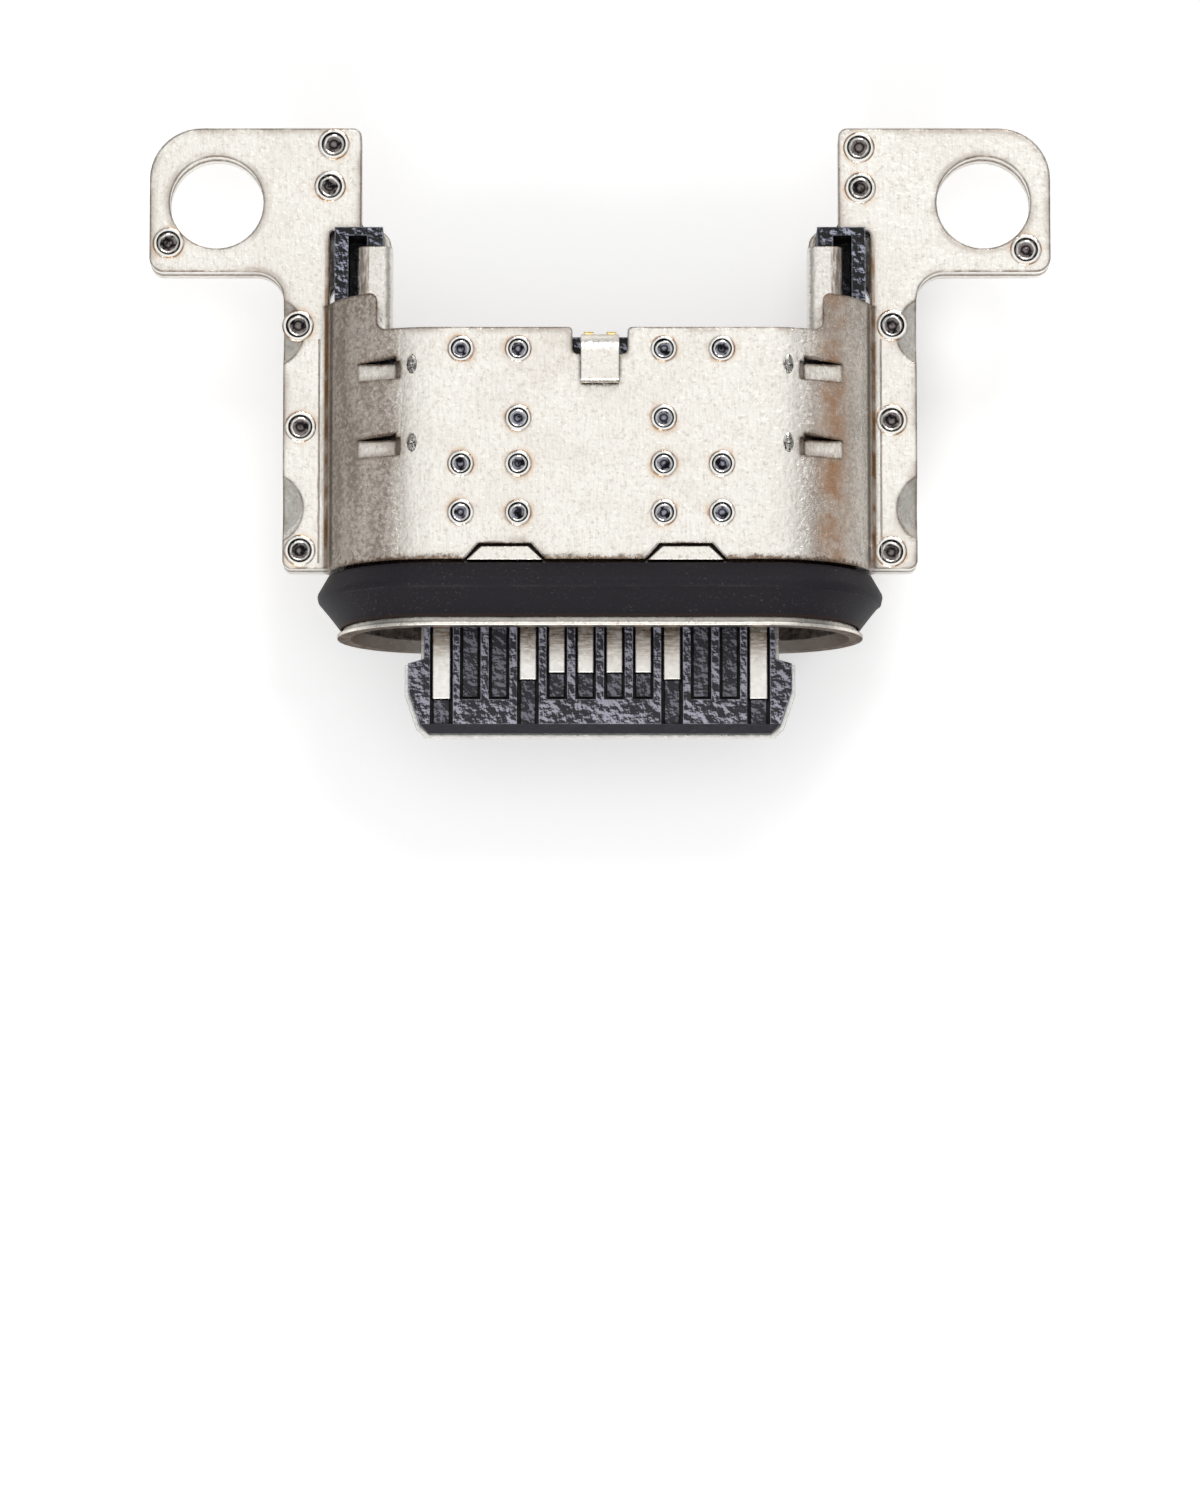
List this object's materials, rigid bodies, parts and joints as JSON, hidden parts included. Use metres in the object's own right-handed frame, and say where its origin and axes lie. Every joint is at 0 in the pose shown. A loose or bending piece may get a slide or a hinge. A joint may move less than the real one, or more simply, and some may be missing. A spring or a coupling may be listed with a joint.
{
  "type": "charging port",
  "caption": "Oval charging port: contact tongue in a steel shell, hat-section covers with two screw ears, rubber seal ring at the mouth and a row of solder tails behind.",
  "frame": {"origin": "centre of the oval mouth, in the plane of its front edge", "axes": "+X across the port, -Y out of the mouth towards the plug, +Y to the rear, +Z to the top face"},
  "size_m": [0.0158, 0.0107, 0.0041],
  "materials": {
    "cover_steel": "satin nickel plate with a fine lengthwise grain",
    "shell_steel": "satin nickel plate",
    "seal_rubber": "matt black rubber",
    "mid_steel": "bare sheared edge",
    "tongue_plastic": "matt black moulding",
    "housing_plastic": "matt black moulding",
    "clip_steel": "satin nickel plate",
    "pad_steel": "satin nickel plate",
    "sealant": "smooth dark potting",
    "contact_gold": "gold plate over copper alloy"
  },
  "bodies": {
    "root": {"upper_cover": "cover_steel", "lower_cover": "cover_steel", "inner_shell": "shell_steel", "seal_ring": "seal_rubber", "mid_plate": "mid_steel", "upper_insulator": "tongue_plastic", "lower_insulator": "tongue_plastic", "rear_housing": "housing_plastic", "left_ground_clip": "clip_steel", "right_ground_clip": "clip_steel", "upper_shield_pad": "pad_steel", "lower_shield_pad": "pad_steel", "rear_sealant": "sealant", "contact_a12_ground": "contact_gold", "contact_b1_ground": "contact_gold", "contact_a9_power": "contact_gold", "contact_b4_power": "contact_gold", "contact_b5_channel": "contact_gold", "contact_a8_sideband": "contact_gold", "contact_b6_data": "contact_gold", "contact_a7_data": "contact_gold", "contact_a6_data": "contact_gold", "contact_b7_data": "contact_gold", "contact_a5_channel": "contact_gold", "contact_b8_sideband": "contact_gold", "contact_b9_power": "contact_gold", "contact_a4_power": "contact_gold", "contact_b12_ground": "contact_gold", "contact_a1_ground": "contact_gold"}
  },
  "joints": []
}
